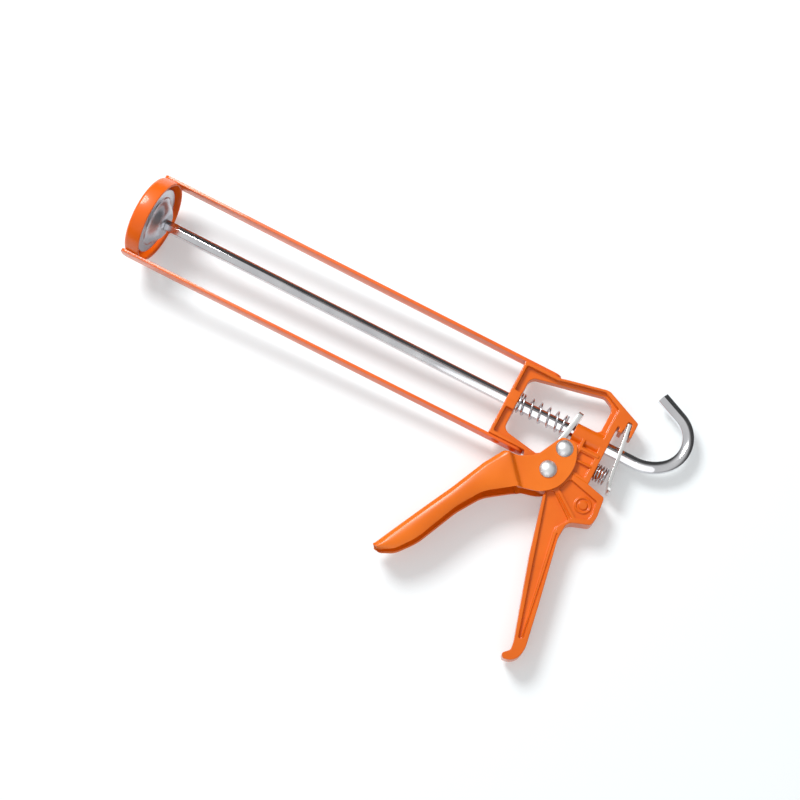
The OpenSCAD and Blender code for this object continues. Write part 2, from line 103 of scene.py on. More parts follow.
def editAll(piece, *steps):
    pickOnly(piece)
    bpy.ops.object.mode_set(mode="EDIT")
    bpy.ops.mesh.select_mode(type="VERT")
    bpy.ops.mesh.select_all(action="SELECT")
    for step in steps:
        step()
    bpy.ops.object.mode_set(mode="OBJECT")


def mergeDoubles(distance=limits["merge"]):
    return lambda: bpy.ops.mesh.remove_doubles(threshold=distance * mm)


def normalsOut():
    bpy.ops.mesh.normals_make_consistent(inside=False)


def dissolveFlat():
    bpy.ops.mesh.dissolve_limited(angle_limit=math.radians(limits["flat"]))


def smoothByAngle(piece, kind="plain"):
    pickOnly(piece)
    bpy.ops.object.shade_smooth_by_angle(angle=math.radians(shading[kind]))


def roundEdges(piece, edge, segments=3, sharp=limits["sharp"]):
    applyModifier(piece, "BEVEL", width=edge * mm, segments=segments, limit_method="ANGLE",
                  angle_limit=math.radians(sharp))


def copyNode(nodeName, pieceName):
    piece = bpy.data.objects.new(pieceName, frame["nodes"][nodeName].data.copy())
    bpy.context.scene.collection.objects.link(piece)
    piece.data.materials.clear()
    editAll(piece, mergeDoubles(), dissolveFlat)
    return piece


def finishPiece(piece, body, slotName, material, *nodeNames):
    piece.data.materials.clear()
    piece.data.materials.append(material)
    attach(piece, body)
    if nodeNames:
        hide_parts(*nodeNames)


def roundCopy(nodeName, pieceName, body, slotName, material, edge, segments=3):
    piece = copyNode(nodeName, pieceName)
    roundEdges(piece, edge, segments)
    smoothByAngle(piece)
    finishPiece(piece, body, slotName, material, nodeName)


# turned about X; the profile is a list of (along X, radius) in mm, closed round the metal
def lathe(pieceName, profile, steps):
    count = len(profile)
    bpy.ops.mesh.primitive_circle_add(vertices=count, radius=mm, fill_type="NOTHING")
    piece = bpy.context.object
    piece.name = pieceName
    for vertex, (along, radius) in zip(piece.data.vertices, profile):
        vertex.co = (along * mm, radius * mm, 0)
    turn = lambda: bpy.ops.mesh.spin(steps=steps, angle=math.tau, center=(0, 0, 0), axis=(1, 0, 0))
    editAll(piece, turn, mergeDoubles(), normalsOut)
    return piece


# the outline is a list of (x, y) in mm, raised from low to high
def prism(pieceName, outline, low, high):
    bpy.ops.mesh.primitive_circle_add(vertices=len(outline), radius=mm, fill_type="NGON")
    piece = bpy.context.object
    piece.name = pieceName
    for vertex, (x, y) in zip(piece.data.vertices, outline):
        vertex.co = (x * mm, y * mm, low * mm)
    rise = {"value": (0, 0, (high - low) * mm)}
    editAll(piece, lambda: bpy.ops.mesh.extrude_region_move(TRANSFORM_OT_translate=rise), normalsOut)
    return piece


def box(pieceName, xLow, xHigh, yLow, yHigh, zLow, zHigh):
    return prism(pieceName, [(xLow, yLow), (xHigh, yLow), (xHigh, yHigh), (xLow, yHigh)], zLow, zHigh)


# a copy on the gun's other side
def mirroredOver(piece):
    twin = piece.copy()
    twin.data = piece.data.copy()
    bpy.context.scene.collection.objects.link(twin)
    twin.data.transform(Matrix.Scale(-1, 4, (0, 0, 1)))
    editAll(twin, normalsOut)
    return twin


def joinInto(piece, others):
    pickOnly(piece)
    for other in others:
        other.select_set(True)
    bpy.ops.object.join()


# points on an arc of a profile, counted from straight outwards and turning towards the front
def arcPoints(centreX, centreR, radius, fromDegrees, toDegrees, steps=6):
    turns = [math.radians(fromDegrees + (toDegrees - fromDegrees) * k / steps) for k in range(steps + 1)]
    return [(centreX - radius * math.sin(a), centreR + radius * math.cos(a)) for a in turns]


# corners are (x, y, radius); every corner becomes an arc of a few points
def roundedOutline(corners, steps=6):
    points = []
    count = len(corners)
    for i, (x, y, radius) in enumerate(corners):
        corner = Vector((x, y))
        back = (Vector(corners[i - 1][:2]) - corner).normalized()
        ahead = (Vector(corners[(i + 1) % count][:2]) - corner).normalized()
        if radius <= 0:
            points.append((x, y))
            continue
        half = back.angle(ahead) / 2
        centre = corner + (back + ahead).normalized() * radius / math.sin(half)
        start = corner + back * radius / math.tan(half) - centre
        sweep = start.angle_signed(corner + ahead * radius / math.tan(half) - centre)
        for k in range(steps + 1):
            turned = start.copy()
            turned.rotate(Matrix.Rotation(-sweep * k / steps, 2))
            points.append(tuple(centre + turned))
    return points


# surface effects that several materials share, as node groups; sizes are noise scales per metre
grainStart = {"size": 900.0, "patches": 30.0, "smoothest": 0.2, "roughest": 0.35, "fineDetail": 3.0,
              "patchDetail": 4.0, "patchLow": 0.3, "patchHigh": 0.7}
drawStart = {"along": 40.0, "across": 2200.0, "detail": 2.0}


def newGroup(name, inputs, outputs):
    group = bpy.data.node_groups.new(name, "ShaderNodeTree")
    for label, kind, value in inputs:
        socket = group.interface.new_socket(name=label, in_out="INPUT", socket_type=kind)
        socket.default_value = value
    for label, kind in outputs:
        group.interface.new_socket(name=label, in_out="OUTPUT", socket_type=kind)
    return group, group.nodes.new("NodeGroupInput"), group.nodes.new("NodeGroupOutput")


# fine speckle for bumps, and broad patches that change the roughness and the tone
def makeGrain():
    group, given, result = newGroup(
        "surfaceGrain",
        [("Size", "NodeSocketFloat", grainStart["size"]),
         ("Patches", "NodeSocketFloat", grainStart["patches"]),
         ("Smoothest", "NodeSocketFloat", grainStart["smoothest"]),
         ("Roughest", "NodeSocketFloat", grainStart["roughest"])],
        [("Height", "NodeSocketFloat"), ("Roughness", "NodeSocketFloat"), ("Patch", "NodeSocketFloat")])
    nodes, links = group.nodes, group.links
    place = nodes.new("ShaderNodeTexCoord")
    fine = nodes.new("ShaderNodeTexNoise")
    fine.inputs["Detail"].default_value = grainStart["fineDetail"]
    broad = nodes.new("ShaderNodeTexNoise")
    broad.inputs["Detail"].default_value = grainStart["patchDetail"]
    spread = nodes.new("ShaderNodeMapRange")
    links.new(place.outputs["Object"], fine.inputs["Vector"])
    links.new(place.outputs["Object"], broad.inputs["Vector"])
    links.new(given.outputs["Size"], fine.inputs["Scale"])
    links.new(given.outputs["Patches"], broad.inputs["Scale"])
    links.new(broad.outputs["Fac"], spread.inputs["Value"])
    spread.inputs["From Min"].default_value = grainStart["patchLow"]
    spread.inputs["From Max"].default_value = grainStart["patchHigh"]
    links.new(given.outputs["Smoothest"], spread.inputs["To Min"])
    links.new(given.outputs["Roughest"], spread.inputs["To Max"])
    links.new(fine.outputs["Fac"], result.inputs["Height"])
    links.new(spread.outputs["Result"], result.inputs["Roughness"])
    links.new(broad.outputs["Fac"], result.inputs["Patch"])
    return group


# streaks along X, as drawing a bar through a die leaves them
def makeDrawLines():
    group, given, result = newGroup(
        "drawLines",
        [("Along", "NodeSocketFloat", drawStart["along"]),
         ("Across", "NodeSocketFloat", drawStart["across"])],
        [("Height", "NodeSocketFloat")])
    nodes, links = group.nodes, group.links
    place = nodes.new("ShaderNodeTexCoord")
    stretch = nodes.new("ShaderNodeMapping")
    scale = nodes.new("ShaderNodeCombineXYZ")
    noise = nodes.new("ShaderNodeTexNoise")
    noise.inputs["Scale"].default_value = 1.0
    noise.inputs["Detail"].default_value = drawStart["detail"]
    links.new(place.outputs["Object"], stretch.inputs["Vector"])
    links.new(given.outputs["Along"], scale.inputs["X"])
    links.new(given.outputs["Across"], scale.inputs["Y"])
    links.new(given.outputs["Across"], scale.inputs["Z"])
    links.new(scale.outputs["Vector"], stretch.inputs["Scale"])
    links.new(stretch.outputs["Vector"], noise.inputs["Vector"])
    links.new(noise.outputs["Fac"], result.inputs["Height"])
    return group


grainGroup = makeGrain()
drawGroup = makeDrawLines()


def newMaterial(name):
    material = bpy.data.materials.new(name)
    material.use_nodes = True
    return material, material.node_tree.nodes["Principled BSDF"]


def addGroup(material, group, **values):
    node = material.node_tree.nodes.new("ShaderNodeGroup")
    node.node_tree = group
    for name, value in values.items():
        node.inputs[name].default_value = value
    return node


toneBand = (0.35, 0.65)


# the grain's patches pick between two tones and two roughnesses
def addPatches(material, shader, tones):
    nodes, links = material.node_tree.nodes, material.node_tree.links
    grain = addGroup(material, grainGroup, Size=tones["grainSize"], Patches=tones["patches"],
                     Smoothest=tones["smoothest"], Roughest=tones["roughest"])
    ramp = nodes.new("ShaderNodeValToRGB")
    for element, place, tone in zip(ramp.color_ramp.elements, toneBand, (tones["dark"], tones["light"])):
        element.position = place
        element.color = tone + (1,)
    links.new(grain.outputs["Patch"], ramp.inputs["Fac"])
    links.new(ramp.outputs["Color"], shader.inputs["Base Color"])
    links.new(grain.outputs["Roughness"], shader.inputs["Roughness"])
    return grain


def addBump(material, shader, height, strength, distance):
    nodes, links = material.node_tree.nodes, material.node_tree.links
    bump = nodes.new("ShaderNodeBump")
    bump.inputs["Strength"].default_value = strength
    bump.inputs["Distance"].default_value = distance * mm
    links.new(height, bump.inputs["Height"])
    links.new(bump.outputs["Normal"], shader.inputs["Normal"])


powder = {"dark": (0.74, 0.108, 0.002), "light": (0.81, 0.128, 0.003), "grainSize": 700.0, "patches": 35.0,
          "smoothest": 0.28, "roughest": 0.40, "bump": 0.06, "bumpDistance": 0.1, "coat": 0.35,
          "coatRoughness": 0.10, "specular": 0.25}
metal = {"grainSize": 1500.0, "patches": 60.0, "bump": 0.05, "bumpDistance": 0.05}


def makePowderCoat(name, **changes):
    tones = dict(powder, **changes)
    material, shader = newMaterial(name)
    grain = addPatches(material, shader, tones)
    addBump(material, shader, grain.outputs["Height"], tones["bump"], tones["bumpDistance"])
    shader.inputs["Specular IOR Level"].default_value = tones["specular"]
    shader.inputs["Coat Weight"].default_value = tones["coat"]
    shader.inputs["Coat Roughness"].default_value = tones["coatRoughness"]
    return material


# lines is the strength of the streaks, for a drawn bar
def makeMetal(name, lines=0.0, **changes):
    tones = dict(metal, **changes)
    material, shader = newMaterial(name)
    shader.inputs["Metallic"].default_value = 1.0
    grain = addPatches(material, shader, tones)
    if lines > 0:
        marks = addGroup(material, drawGroup)
        addBump(material, shader, marks.outputs["Height"], lines, tones["bumpDistance"])
    else:
        addBump(material, shader, grain.outputs["Height"], tones["bump"], tones["bumpDistance"])
    return material


orangeCasting = makePowderCoat("orangeCastingCoat", dark=(0.71, 0.122, 0.002), light=(0.78, 0.145, 0.003))
orangeSteel = makePowderCoat("orangeSteelCoat", grainSize=900.0, bump=0.04)
orangeTrigger = makePowderCoat("orangeTriggerCoat", dark=(0.75, 0.145, 0.002), light=(0.82, 0.170, 0.003),
                               coatRoughness=0.22)
brightRod = makeMetal("brightRodPlating", dark=(0.74, 0.74, 0.77), light=(0.86, 0.86, 0.88),
                      smoothest=0.06, roughest=0.16, lines=0.04)
plungerChrome = makeMetal("plungerPlating", dark=(0.38, 0.39, 0.43), light=(0.52, 0.53, 0.57),
                          smoothest=0.28, roughest=0.36, patches=90.0)
zincPlate = makeMetal("zincPlating", dark=(0.78, 0.78, 0.77), light=(0.88, 0.88, 0.87),
                      smoothest=0.22, roughest=0.38)
springWire = makeMetal("springSteel", dark=(0.55, 0.55, 0.58), light=(0.70, 0.70, 0.73),
                       smoothest=0.15, roughest=0.28)
pinSteel = makeMetal("pinSteel", dark=(0.60, 0.60, 0.61), light=(0.72, 0.72, 0.72),
                     smoothest=0.20, roughest=0.35, lines=0.08)
capChrome = makeMetal("capPlating", dark=(0.86, 0.86, 0.87), light=(0.93, 0.93, 0.94),
                      smoothest=0.36, roughest=0.44)
print("materials made")


# the pressed ring: a shallow cup with a round hole in its front and rolled edges
ring = {"outer": 26.0, "wall": 1.5, "depth": 10.0, "bend": 2.4, "hole": 19.0, "lip": 0.5, "lipSteps": 3,
        "steps": 128}
straps = {"edge": 0.3, "rivetEdge": 0.2}


def ringLip(x, radius, fromDegrees, toDegrees):
    return arcPoints(x, radius, ring["lip"], fromDegrees, toDegrees, ring["lipSteps"])


def makeRing():
    middle = ring["outer"] - ring["bend"]
    lip = ring["lip"]
    rearOuter = ringLip(ring["depth"] - lip, ring["outer"] - lip, -90, 0)
    frontBend = arcPoints(ring["bend"], middle, ring["bend"], 0, 90)
    holeFront = ringLip(lip, ring["hole"] + lip, 90, 180)
    holeBack = ringLip(ring["wall"] - lip, ring["hole"] + lip, 180, 270)
    innerBend = arcPoints(ring["bend"], middle, ring["bend"] - ring["wall"], 90, 0)
    rearInner = ringLip(ring["depth"] - lip, ring["outer"] - ring["wall"] + lip, 180, 270)
    profile = rearOuter + frontBend + holeFront + holeBack + innerBend + rearInner
    piece = lathe("ringShell", profile, steps=ring["steps"])
    piece.data.transform(layDown)
    smoothByAngle(piece, "turned")
    finishPiece(piece, "frame", "orange_steel", orangeSteel, "front_ring")


makeRing()
for side in ("top", "bottom"):
    roundCopy(side + "_strap", side + "StrapBand", "frame", "orange_steel", orangeSteel, straps["edge"])
    roundCopy(side + "_strap_rivets", side + "StrapRivets", "frame", "orange_steel", orangeSteel,
              straps["rivetEdge"])
print("ring and straps made")


# the plunger is one pressed sheet: a flat rim, a small step and a dome up to its hub
plunger = {"front": 6.5, "sheet": 1.2, "rim": 21.0, "rimRoll": 0.6, "rimSteps": 8,
           "stepOuter": 16.2, "stepInner": 15.2, "stepRise": 0.9, "stepSteps": 6, "flatEnd": 0.5,
           "dome": 6.5, "domePower": 1.4, "domeSteps": 10, "hub": 6.4, "bore": 2.6, "steps": 96}


def plungerFace(shift):
    front = plunger["front"] + shift
    top = front + plunger["dome"]
    points = [(front, plunger["rim"] - plunger["rimRoll"]),
              (front, plunger["stepOuter"] + plunger["flatEnd"])]
    stepWidth = plunger["stepOuter"] - plunger["stepInner"]
    for k in range(plunger["stepSteps"] + 1):
        rise = plunger["stepRise"] * (1 - math.cos(math.pi * k / plunger["stepSteps"])) / 2
        points.append((front + rise, plunger["stepOuter"] - stepWidth * k / plunger["stepSteps"]))
    start = front + plunger["stepRise"]
    domeWidth = plunger["stepInner"] - plunger["hub"]
    for k in range(1, plunger["domeSteps"] + 1):
        rise = (top - start) * math.sin(math.pi / 2 * k / plunger["domeSteps"]) ** plunger["domePower"]
        points.append((start + rise, plunger["stepInner"] - domeWidth * k / plunger["domeSteps"]))
    return points + [(top, plunger["bore"])]


def makePlunger():
    roll = plunger["rimRoll"]
    rolled = arcPoints(plunger["front"] + roll, plunger["rim"] - roll, roll, 90, -90, plunger["rimSteps"])
    back = plungerFace(plunger["sheet"])
    front = plungerFace(0.0)
    front.reverse()
    piece = lathe("plungerSheet", front[:-1] + rolled + back[1:], steps=plunger["steps"])
    piece.data.transform(layDown)
    smoothByAngle(piece, "turned")
    finishPiece(piece, "rod", "plunger_chrome", plungerChrome, "plunger_disc")


rod = {"edge": 0.5, "washerEdge": 0.12, "nutEdge": 0.25}


# the bar and its hook meet in two faces that lie on each other, which go before the edges are rounded
def makeRod():
    piece = copyNode("push_rod", "hexRod")
    joinInto(piece, [copyNode("rod_hook", "hook")])
    bar = bmesh.new()
    bar.from_mesh(piece.data)
    bmesh.ops.remove_doubles(bar, verts=bar.verts, dist=limits["seamMerge"] * mm)
    seen = {}
    for face in bar.faces:
        seen.setdefault(frozenset(vertex.index for vertex in face.verts), []).append(face)
    doubled = [face for faces in seen.values() if len(faces) > 1 for face in faces]
    bmesh.ops.delete(bar, geom=doubled, context="FACES")
    bar.to_mesh(piece.data)
    bar.free()
    print("faces taken out of the rod:", len(doubled))
    editAll(piece, dissolveFlat, normalsOut)
    roundEdges(piece, rod["edge"])
    smoothByAngle(piece)
    finishPiece(piece, "rod", "bright_rod", brightRod, "push_rod", "rod_hook")


makePlunger()
makeRod()
roundCopy("plunger_washer", "plungerWasher", "rod", "bright_rod", brightRod, rod["washerEdge"], 2)
roundCopy("plunger_nut", "plungerNut", "rod", "bright_rod", brightRod, rod["nutEdge"])
print("rod and plunger made")


# the casting: the solid with three more ribs, remeshed and softened all over, and its grip a little more;
# ribs are (x from, x to, y from, y to) in mm from the casting's front face and the rod
ribs = {"height": 7.0, "upright": (50.2, 52.2, -13.5, -2.6), "level": (52.0, 63.4, -9.0, -7.4),
        "lower": (52.0, 62.0, -16.2, -15.2)}
rounding = {"voxel": 0.28, "softness": 0.5, "allOver": 6, "grip": 5, "gripFrom": -47.0, "keep": 0.22}


def makeCasting():
    piece = copyNode("body_casting", "castBody")
    piece.data.transform(standUp)
    piece.data.transform(Matrix.Translation((-castingAlong * mm, 0, 0)))
    joinInto(piece, [box("rib", *ribs[name], -ribs["height"], ribs["height"])
                     for name in ("upright", "level", "lower")])
    applyModifier(piece, "REMESH", mode="VOXEL", voxel_size=rounding["voxel"] * mm)
    applyModifier(piece, "SMOOTH", factor=rounding["softness"], iterations=rounding["allOver"])
    gripOnly = piece.vertex_groups.new(name="grip")
    gripTop = rounding["gripFrom"] * mm
    gripOnly.add([vertex.index for vertex in piece.data.vertices if vertex.co.y < gripTop], 1.0, "REPLACE")
    applyModifier(piece, "SMOOTH", factor=rounding["softness"], iterations=rounding["grip"],
                  vertex_group="grip")
    applyModifier(piece, "DECIMATE", ratio=rounding["keep"])
    piece.vertex_groups.clear()
    piece.data.transform(Matrix.Translation((castingAlong * mm, 0, 0)))
    piece.data.transform(layDown)
    smoothByAngle(piece, "cast")
    finishPiece(piece, "frame", "orange_casting", orangeCasting, "body_casting")
    print("casting made:", len(piece.data.polygons), "faces")


makeCasting()


# the trigger: one pressed sheet, flat round its pins, then bulged along its grip; shares of its length are
# counted from the tip, and its outlines are (x, y, radius) in mm from the pivot
trigger = {"sheet": 1.5, "headOut": 8.8, "flare": 4.0, "edge": 0.35,
           "creaseAt": (-8.4, -16.0), "creaseTurn": 41, "creaseRun": 2.8,
           "bend": 2.4, "bendShare": 0.8, "leastBend": 0.02,
           "bulge": 1.1, "bulgeRun": 9.0, "bulgeStart": 0.12, "bulgePower": 0.8,
           "tipHalf": 8.6, "taperEnd": 0.34, "taperPower": 1.6, "tipThin": 0.15, "tipRun": 0.06,
           "wallEnd": 0.735, "wallRun": 0.05,
           "alongSteps": 150, "sideSteps": 20, "bendSteps": 6, "wallSteps": 6}
triggerFront = [(-68.7, -84.9, 0), (-44.3, -36.2, 60), (-34.4, -14, 12), (-27.4, -2.2, 3), (-17.8, -0.4, 8),
                (-9.4, 4.6, 4), (-1.2, 21, 4), (3.5, 21.1, 0)]
triggerRear = [(-68.2, -85.6, 0), (-64.4, -86.4, 4), (-56.4, -82.2, 12), (-48, -71.3, 40),
               (-36.4, -44.4, 30), (-27, -29.4, 22), (-10.5, -17.2, 14), (1.5, -14.2, 18),
               (10.6, -7, 18), (13.6, 9, 22), (8.2, 21.2, 5), (3.5, 21.1, 0)]


# evenly spaced points on an open outline
def alongOutline(corners, count):
    points = [Vector(p) for p in roundedOutline(corners)]
    lengths = [0.0]
    for a, b in zip(points, points[1:]):
        lengths.append(lengths[-1] + (b - a).length)
    spaced = []
    i = 0
    for k in range(count + 1):
        goal = lengths[-1] * k / count
        while i < len(points) - 2 and lengths[i + 1] < goal:
            i += 1
        span = lengths[i + 1] - lengths[i]
        part = (goal - lengths[i]) / span if span > 0 else 0.0
        spaced.append(points[i].lerp(points[i + 1], min(max(part, 0.0), 1.0)))
    return spaced


# 0 up to 1 without a corner at either end
def eased(value):
    value = min(max(value, 0.0), 1.0)
    return value * value * (3 - 2 * value)


# distance of a point below the crease, towards the trigger's tip
def belowCrease(point):
    turn = math.radians(trigger["creaseTurn"])
    return (Vector(trigger["creaseAt"]) - point).dot(Vector((math.cos(turn), math.sin(turn))))


def triggerHalfWidth(point, along):
    half = trigger["headOut"] + trigger["flare"] * eased(belowCrease(point) / trigger["creaseRun"])
    taper = max(0.0, 1 - along / trigger["taperEnd"]) ** trigger["taperPower"]
    return half - (trigger["headOut"] + trigger["flare"] - trigger["tipHalf"]) * taper


# the rows of points from the middle of the front wall round the bend to the rear edge: how far in from the
# front each lies, its part of the sheet and its share of that part
def crossSection(width, along):
    grip = eased((trigger["wallEnd"] - along) / trigger["wallRun"])
    bend = max(min(trigger["bend"], width * trigger["bendShare"]) * grip, trigger["leastBend"])
    rows = [(0.0, "wall", k / trigger["wallSteps"]) for k in range(trigger["wallSteps"])]
    for k in range(trigger["bendSteps"]):
        turned = math.pi / 2 * k / trigger["bendSteps"]
        rows.append((bend * (1 - math.cos(turned)), "bend", math.sin(turned)))
    for k in range(trigger["sideSteps"] + 1):
        rows.append((bend + (width - bend) * k / trigger["sideSteps"], "side", k / trigger["sideSteps"]))
    return bend, grip, rows


# a point of the sheet in the trigger's outline, and how far it lies from the middle plane
def triggerPoint(frontPoint, rearPoint, along, row):
    across = rearPoint - frontPoint
    width = across.length
    bend, grip, rows = crossSection(width, along)
    inward, part, share = rows[row]
    point = frontPoint + (across * (inward / width) if width > trigger["leastBend"] else across)
    half = triggerHalfWidth(point, along)
    bulge = trigger["bulge"] * grip * eased(belowCrease(point) / trigger["bulgeRun"])
    if part == "wall":
        return point, (half - bulge - bend) * share
    if part == "bend":
        return point, half - bulge - bend + bend * share
    swell = trigger["bulgeStart"] + (1 - trigger["bulgeStart"]) * share
    return point, half - bulge + bulge * math.sin(math.pi * swell) ** trigger["bulgePower"]


# the flat head has no front wall, so the wall's faces go from there
def openHead(mesh, rowCount, middleRow):
    sheet = bmesh.new()
    sheet.from_mesh(mesh)
    sheet.verts.ensure_lookup_table()
    gone = []
    for face in sheet.faces:
        along = max(vertex.index // rowCount for vertex in face.verts) / trigger["alongSteps"]
        row = max(abs(vertex.index % rowCount - middleRow) for vertex in face.verts)
        if along > trigger["wallEnd"] and row <= trigger["wallSteps"]:
            gone.append(face)
    bmesh.ops.delete(sheet, geom=gone, context="FACES")
    sheet.to_mesh(mesh)
    sheet.free()


def makeTrigger():
    steps = trigger["alongSteps"]
    front = alongOutline(triggerFront, steps)
    rear = alongOutline(triggerRear, steps)
    middleRow = trigger["wallSteps"] + trigger["bendSteps"] + trigger["sideSteps"]
    rowCount = 2 * middleRow + 1
    bpy.ops.mesh.primitive_grid_add(x_subdivisions=rowCount - 1, y_subdivisions=steps, size=2 * mm)
    piece = bpy.context.object
    piece.name = "triggerSheet"
    mesh = piece.data
    thickness = piece.vertex_groups.new(name="thickness")
    for vertex in mesh.vertices:
        i, row = divmod(vertex.index, rowCount)
        row -= middleRow
        point, height = triggerPoint(front[i], rear[i], i / steps, abs(row))
        vertex.co = (point.x * mm, point.y * mm, math.copysign(height, row) * mm)
        thick = trigger["tipThin"] + (1 - trigger["tipThin"]) * eased(i / steps / trigger["tipRun"])
        thickness.add([vertex.index], thick, "REPLACE")
    openHead(mesh, rowCount, middleRow)
    editAll(piece, mergeDoubles(limits["seamMerge"]), normalsOut)
    outside = sum(face.normal.z * math.copysign(1, face.center.z) * face.area for face in mesh.polygons)
    if outside < 0:
        editAll(piece, lambda: bpy.ops.mesh.flip_normals())
    applyModifier(piece, "SOLIDIFY", thickness=trigger["sheet"] * mm, offset=-1, use_even_offset=False,
                  vertex_group="thickness", thickness_vertex_group=0.0)
    roundEdges(piece, trigger["edge"], sharp=limits["foldedSharp"])
    mesh.transform(Matrix.Translation((pivotAlong * mm, pivotUp * mm, 0)))
    mesh.transform(layDown)
    smoothByAngle(piece, "folded")
    finishPiece(piece, "trigger", "orange_steel", orangeTrigger, "trigger")
    print("trigger made:", len(mesh.polygons), "faces")


makeTrigger()


# the pins' domed caps: each has two small notches, turned to the angles given, and a base at its height
# over the middle plane; the pusher lies up and back from the pivot
cap = {"radius": 5.1, "height": 2.4, "flange": 0.35, "edge": 0.15, "domeRadius": 4.95, "domeSteps": 12,
       "steps": 48, "notches": (-132, -73), "notchAt": 4.2, "notchWide": 1.3, "notchTall": 0.8,
       "notchFloor": 0.1}
pivot = {"capBase": 9.1, "capTurn": 0}
pusher = {"up": 15.3, "back": 3.0, "capBase": 8.8, "capTurn": 8}
pins = {"edge": 0.2}


def capProfile():
    radius, flange, edge = cap["radius"], cap["flange"], cap["edge"]
    rise = cap["height"] - flange
    ball = (cap["domeRadius"] ** 2 + rise ** 2) / (2 * rise)
    points = [(0.0, 0.0), (0.0, radius - edge), (edge, radius), (flange - edge, radius),
              (flange, radius - edge)]
    for k in range(cap["domeSteps"] + 1):
        out = cap["domeRadius"] * (1 - k / cap["domeSteps"])
        points.append((cap["height"] - ball + math.sqrt(ball ** 2 - out ** 2), out))
    return points


def makeCap(x, y, place):
    piece = lathe("cap", capProfile(), steps=cap["steps"])
    piece.data.transform(Matrix.Rotation(-math.pi / 2, 4, "Y"))
    wide = cap["notchWide"] / 2
    tall = cap["notchTall"] / 2
    cutters = []
    for notchTurn in cap["notches"]:
        slot = box("notch", cap["notchAt"] - tall, cap["notchAt"] + tall, -wide, wide, cap["notchFloor"],
                   cap["height"])
        turn = math.radians(notchTurn + place["capTurn"])
        slot.data.transform(Matrix.Rotation(turn, 4, "Z"))
        cutters.append(slot)
    joinInto(cutters[0], cutters[1:])
    applyModifier(piece, "BOOLEAN", operation="DIFFERENCE", object=cutters[0], solver="EXACT")
    bpy.data.objects.remove(cutters[0])
    piece.data.transform(Matrix.Translation((x * mm, y * mm, place["capBase"] * mm)))
    return piece


def makeCapPair(pieceName, nodeName, body, x, y, place):
    piece = makeCap(x, y, place)
    joinInto(piece, [mirroredOver(piece)])
    piece.name = pieceName
    piece.data.transform(layDown)
    smoothByAngle(piece, "turned")
    finishPiece(piece, body, "cap_chrome", capChrome, nodeName)


makeCapPair("pivotDomes", "pivot_caps", "frame", pivotAlong, pivotUp, pivot)
makeCapPair("pusherDomes", "pusher_caps", "trigger", pivotAlong + pusher["back"],
            pivotUp + pusher["up"], pusher)
roundCopy("pivot_pin", "pivotShank", "frame", "pin_steel", pinSteel, pins["edge"], 2)
roundCopy("pusher_pin", "pusherShank", "trigger", "pin_steel", pinSteel, pins["edge"], 2)
roundCopy("pusher_roller", "pusherRoller", "trigger", "pin_steel", pinSteel, pins["edge"], 2)
print("pins and caps made")


plates = {"edge": 0.15}
roundCopy("drive_plate", "drivePlate", "drive_plate", "zinc_plate", zincPlate, plates["edge"])
roundCopy("release_plate", "releasePlate", "release_plate", "zinc_plate", zincPlate, plates["edge"])
print("plates made")


# the springs are wound again from their own boxes with a round wire;
# from and up are measured in mm from the casting's front face and the rod, and travel is the plate's
springs = {
    "drive_spring": {"piece": "driveCoil", "outer": 12.8, "wire": 1.1, "turns": 7, "closed": 1.0,
                     "from": 7.1, "up": 1.2, "joint": "drive_slide", "travel": 9.4},
    "release_spring": {"piece": "releaseCoil", "outer": 11.0, "wire": 0.9, "turns": 4, "closed": 0.5,
                       "from": 65.1, "up": -15.3, "joint": "release_pivot", "travel": 2.5}}
winding = {"stepsPerTurn": 28, "closedPitch": 1.08, "roundness": 3}


# the coil's points lie round its own axis, with its closed turns at both ends
def coilPoints(values, length):
    tight = values["wire"] * winding["closedPitch"]
    openTurns = values["turns"] - 2 * values["closed"]
    pitch = (length - values["wire"] - 2 * values["closed"] * tight) / openTurns
    radius = (values["outer"] - values["wire"]) / 2
    points = []
    for k in range(values["turns"] * winding["stepsPerTurn"] + 1):
        turn = k / winding["stepsPerTurn"]
        firstClosed = min(turn, values["closed"])
        middle = min(max(turn - values["closed"], 0), openTurns)
        lastClosed = max(turn - values["closed"] - openTurns, 0)
        rise = values["wire"] / 2 + tight * (firstClosed + lastClosed) + pitch * middle
        angle = math.tau * turn
        points.append(((values["from"] + rise) * mm, (values["up"] + radius * math.cos(angle)) * mm,
                       radius * math.sin(angle) * mm, 1))
    return points


def makeSpring(nodeName):
    values = springs[nodeName]
    low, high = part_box(nodeName)
    span = (high[0] - low[0]) / mm
    length = (span - values["outer"] * math.sin(lieAngle)) / math.cos(lieAngle)
    curve = bpy.data.curves.new(values["piece"], "CURVE")
    curve.dimensions = "3D"
    curve.bevel_depth = values["wire"] / 2 * mm
    curve.bevel_resolution = winding["roundness"]
    curve.use_fill_caps = True
    spline = curve.splines.new("POLY")
    places = coilPoints(values, length)
    spline.points.add(len(places) - 1)
    for point, place in zip(spline.points, places):
        point.co = place
    holder = bpy.data.objects.new(values["piece"], curve)
    bpy.context.scene.collection.objects.link(holder)
    pickOnly(holder)
    bpy.ops.object.convert(target="MESH")
    piece = bpy.context.object
    editAll(piece, mergeDoubles(), normalsOut)
    piece.data.transform(Matrix.Translation((castingAlong * mm, 0, 0)))
    piece.data.transform(layDown)
    smoothByAngle(piece, "folded")
    finishPiece(piece, "frame", "spring_wire", springWire, nodeName)
    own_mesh(piece)


for springName in springs:
    makeSpring(springName)
print("springs made")


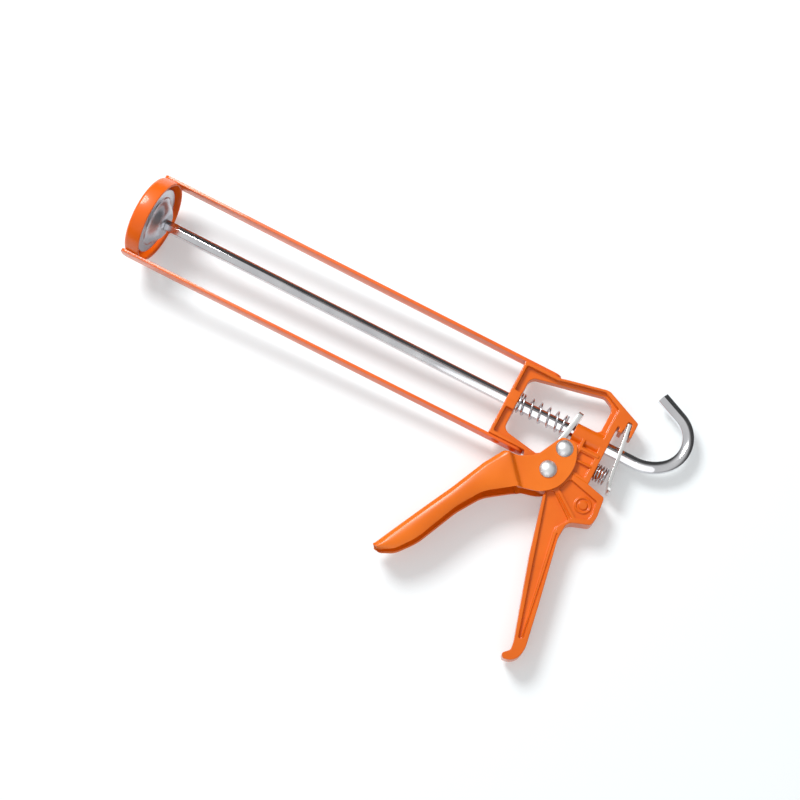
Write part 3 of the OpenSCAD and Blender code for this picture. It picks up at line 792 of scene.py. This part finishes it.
# the floor glows a little, to stay pale; the sky brightens between low and high, as shares of its height
stage = {"floorSize": 6.0, "floorTone": (0.66, 0.70, 0.715), "floorGlow": 0.27, "floorRoughness": 0.85,
         "floorSpecular": 0.1, "skyTop": 1.0, "skySide": 0.10, "skyLow": 0.36, "skyHigh": 0.52,
         "skyStrength": 0.62, "keyPlace": (-0.60, 0.45, 1.15), "keySize": 0.60, "keyPower": 19.0,
         "fillPlace": (0.5, -1.1, 0.9), "fillSize": 1.2, "fillPower": 2.5}
view = {"aim": (0.1906, -0.0300, -0.010), "azimuth": -50.05, "elevation": 73.76, "distance": 0.941,
        "roll": 12.27, "lens": 72, "sensor": 36, "clipStart": 0.05}


def makeFloor():
    bpy.ops.mesh.primitive_plane_add(size=stage["floorSize"], location=(0, 0, cadBounds[0][2]))
    floor = bpy.context.object
    floor.name = "floor"
    material, shader = newMaterial("paleFloor")
    shader.inputs["Base Color"].default_value = stage["floorTone"] + (1,)
    shader.inputs["Emission Color"].default_value = (1, 1, 1, 1)
    shader.inputs["Emission Strength"].default_value = stage["floorGlow"]
    shader.inputs["Roughness"].default_value = stage["floorRoughness"]
    shader.inputs["Specular IOR Level"].default_value = stage["floorSpecular"]
    floor.data.materials.append(material)


def makeSky():
    world = bpy.data.worlds.new("studio")
    bpy.context.scene.world = world
    world.use_nodes = True
    nodes, links = world.node_tree.nodes, world.node_tree.links
    back = nodes["Background"]
    back.inputs["Strength"].default_value = stage["skyStrength"]
    where = nodes.new("ShaderNodeTexCoord")
    parts = nodes.new("ShaderNodeSeparateXYZ")
    ramp = nodes.new("ShaderNodeValToRGB")
    side, top = ramp.color_ramp.elements
    side.position = stage["skyLow"]
    side.color = (stage["skySide"],) * 3 + (1,)
    top.position = stage["skyHigh"]
    top.color = (stage["skyTop"],) * 3 + (1,)
    links.new(where.outputs["Generated"], parts.inputs["Vector"])
    links.new(parts.outputs["Z"], ramp.inputs["Fac"])
    links.new(ramp.outputs["Color"], back.inputs["Color"])


def makeAreaLight(name, place, size, power):
    data = bpy.data.lights.new(name, "AREA")
    data.shape = "DISK"
    data.size = size
    data.energy = power
    lamp = bpy.data.objects.new(name, data)
    bpy.context.scene.collection.objects.link(lamp)
    lamp.location = place
    lamp.rotation_euler = (Vector(view["aim"]) - Vector(place)).to_track_quat("-Z", "Y").to_euler()


def makeCamera():
    azimuth = math.radians(view["azimuth"])
    elevation = math.radians(view["elevation"])
    level = math.cos(elevation)
    back = Vector((math.cos(azimuth) * level, math.sin(azimuth) * level, math.sin(elevation)))
    right = Vector((0, 0, 1)).cross(back).normalized()
    up = back.cross(right)
    roll = math.radians(view["roll"])
    rolledUp = up * math.cos(roll) + right * math.sin(roll)
    rolledRight = rolledUp.cross(back)
    data = bpy.data.cameras.new("viewer")
    data.lens = view["lens"]
    data.sensor_width = view["sensor"]
    data.clip_start = view["clipStart"]
    camera = bpy.data.objects.new("viewer", data)
    bpy.context.scene.collection.objects.link(camera)
    turn = Matrix((rolledRight, rolledUp, back)).transposed().to_4x4()
    camera.matrix_world = Matrix.Translation(Vector(view["aim"]) + back * view["distance"]) @ turn
    bpy.context.scene.camera = camera


makeFloor()
makeSky()
makeAreaLight("keyLight", stage["keyPlace"], stage["keySize"], stage["keyPower"])
makeAreaLight("fillLight", stage["fillPlace"], stage["fillSize"], stage["fillPower"])
makeCamera()
bpy.context.scene.view_settings.view_transform = "Standard"
print("stage set")
